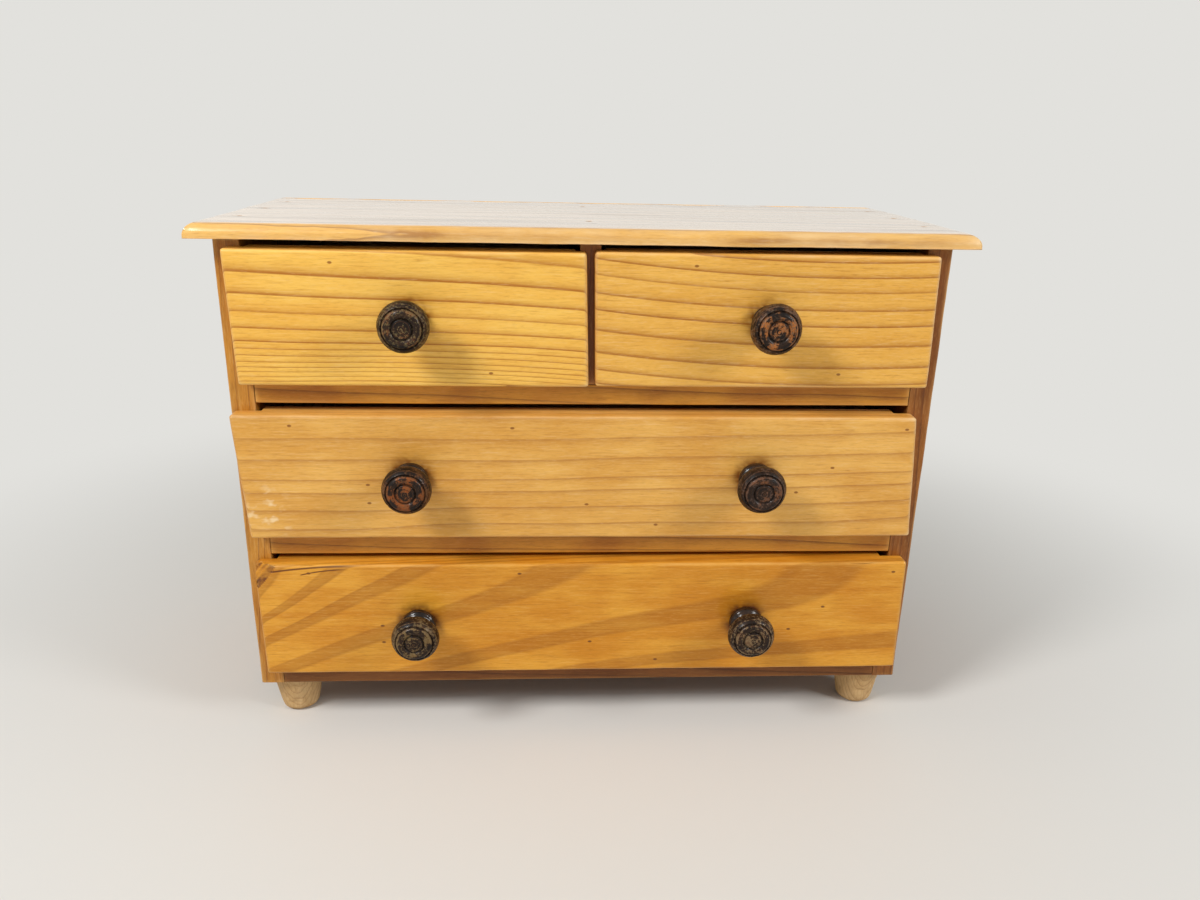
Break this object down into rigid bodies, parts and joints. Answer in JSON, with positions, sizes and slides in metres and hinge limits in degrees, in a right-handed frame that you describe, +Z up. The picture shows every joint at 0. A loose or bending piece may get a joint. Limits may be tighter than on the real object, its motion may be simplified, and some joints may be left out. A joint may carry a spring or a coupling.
{
  "type": "desktop mini drawers",
  "caption": "Miniature varnished pine chest of drawers with short drawers over long ones, turned dark knobs and tapered feet, for keeping small craft parts.",
  "frame": {"origin": "on the floor, in the middle of the whole object's width and depth, drawers shut", "axes": "+Z up; the drawers face -Y and slide out along -Y; +X to the right of someone facing them"},
  "size_m": [0.38, 0.1788, 0.2752],
  "materials": {
    "varnished_pine_top": "satin varnished pine",
    "varnished_pine_fronts": "satin honey varnished pine",
    "varnished_pine_case": "satin amber varnished pine",
    "bare_pine": "unfinished pine",
    "drawer_box_pine": "unfinished pine",
    "plywood": "unfinished plywood",
    "stained_knobs": "dark stain, worn gloss",
    "steel_pins": "bright steel panel pins",
    "steel_screws": "steel wood screws"
  },
  "bodies": {
    "case": {"back_panel": "plywood", "back_pins": "steel_pins", "bottom_board": "varnished_pine_case", "divider": "varnished_pine_case", "divider_pins": "steel_pins", "foot_back_left": "bare_pine", "foot_back_right": "bare_pine", "foot_front_left": "bare_pine", "foot_front_right": "bare_pine", "foot_screws": "steel_screws", "lower_shelf": "varnished_pine_case", "side_left": "varnished_pine_case", "side_left_pins": "steel_pins", "side_right": "varnished_pine_case", "side_right_pins": "steel_pins", "top_board": "varnished_pine_top", "top_pins": "steel_pins", "upper_shelf": "varnished_pine_case"},
    "top_left_drawer": {"top_left_back": "drawer_box_pine", "top_left_base": "plywood", "top_left_base_pins": "steel_pins", "top_left_corner_pins": "steel_pins", "top_left_front": "varnished_pine_fronts", "top_left_knob": "stained_knobs", "top_left_knob_screws": "steel_screws", "top_left_side_left": "drawer_box_pine", "top_left_side_right": "drawer_box_pine"},
    "top_right_drawer": {"top_right_back": "drawer_box_pine", "top_right_base": "plywood", "top_right_base_pins": "steel_pins", "top_right_corner_pins": "steel_pins", "top_right_front": "varnished_pine_fronts", "top_right_knob": "stained_knobs", "top_right_knob_screws": "steel_screws", "top_right_side_left": "drawer_box_pine", "top_right_side_right": "drawer_box_pine"},
    "middle_drawer": {"middle_back": "drawer_box_pine", "middle_base": "plywood", "middle_base_pins": "steel_pins", "middle_corner_pins": "steel_pins", "middle_front": "varnished_pine_fronts", "middle_knob_left": "stained_knobs", "middle_knob_right": "stained_knobs", "middle_knob_screws": "steel_screws", "middle_side_left": "drawer_box_pine", "middle_side_right": "drawer_box_pine"},
    "bottom_drawer": {"bottom_back": "drawer_box_pine", "bottom_base": "plywood", "bottom_base_pins": "steel_pins", "bottom_corner_pins": "steel_pins", "bottom_front": "varnished_pine_fronts", "bottom_knob_left": "stained_knobs", "bottom_knob_right": "stained_knobs", "bottom_knob_screws": "steel_screws", "bottom_side_left": "drawer_box_pine", "bottom_side_right": "drawer_box_pine"}
  },
  "joints": [
    {"name": "top_left_slide", "type": "slide", "parent": "case", "child": "top_left_drawer", "axis": [0, -1, 0], "range_m": [0, 0.105]},
    {"name": "top_right_slide", "type": "slide", "parent": "case", "child": "top_right_drawer", "axis": [0, -1, 0], "range_m": [0, 0.105]},
    {"name": "middle_slide", "type": "slide", "parent": "case", "child": "middle_drawer", "axis": [0, -1, 0], "range_m": [0, 0.105]},
    {"name": "bottom_slide", "type": "slide", "parent": "case", "child": "bottom_drawer", "axis": [0, -1, 0], "range_m": [0, 0.105]}
  ]
}
